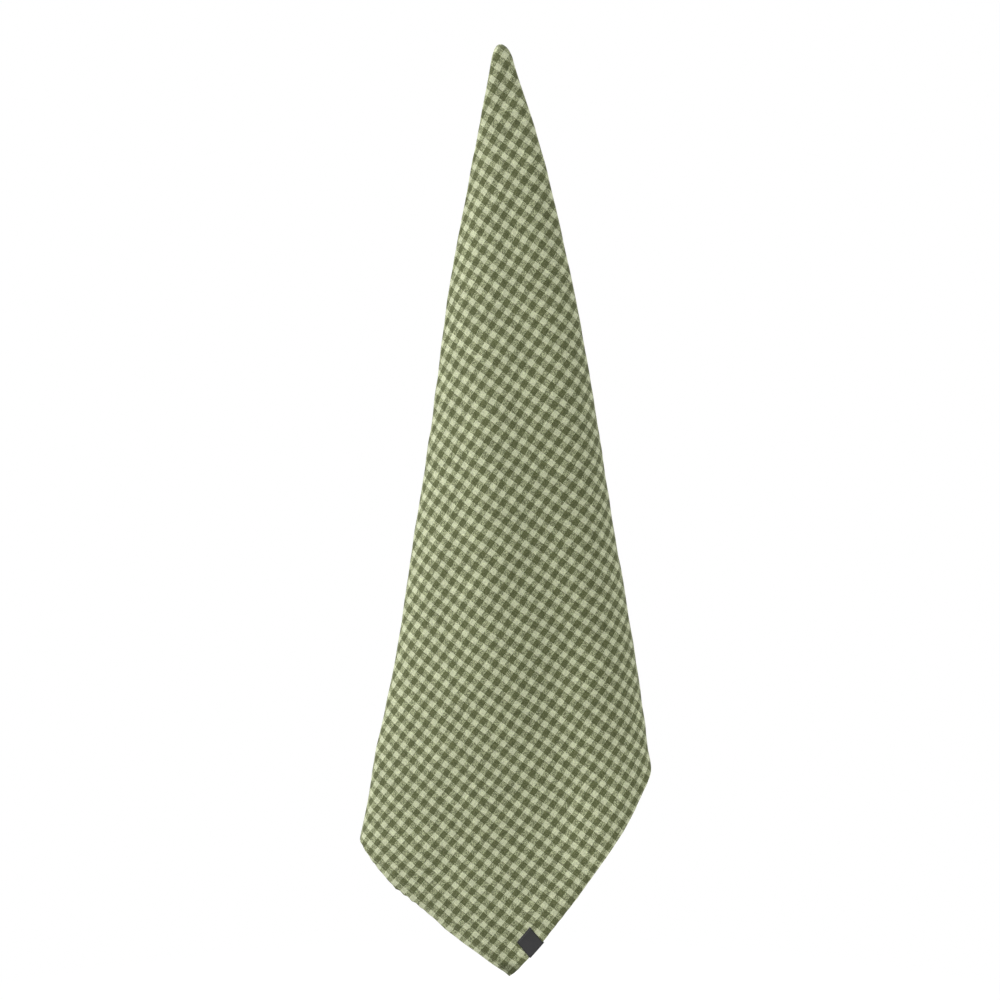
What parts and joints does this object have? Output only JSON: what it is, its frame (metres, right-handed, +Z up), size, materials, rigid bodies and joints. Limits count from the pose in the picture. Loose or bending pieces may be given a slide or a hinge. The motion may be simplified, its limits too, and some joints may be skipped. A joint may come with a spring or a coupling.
{
  "type": "tea towel",
  "caption": "Checked cotton tea towel hung by one corner, falling in soft folds to a point, with a small folded label at the hem.",
  "frame": {"origin": "top of the hanging corner, where the unseen support holds the cloth", "axes": "+X to the right seen from the front, +Y to the back, +Z up"},
  "size_m": [0.2806, 0.1269, 0.8677],
  "materials": {
    "checked_cotton": "plain-woven cotton in small green and cream checks, matt",
    "label_weave": "dense dark grey woven tape, matt"
  },
  "bodies": {
    "root": {"towel": "checked_cotton", "label": "label_weave"}
  },
  "joints": []
}
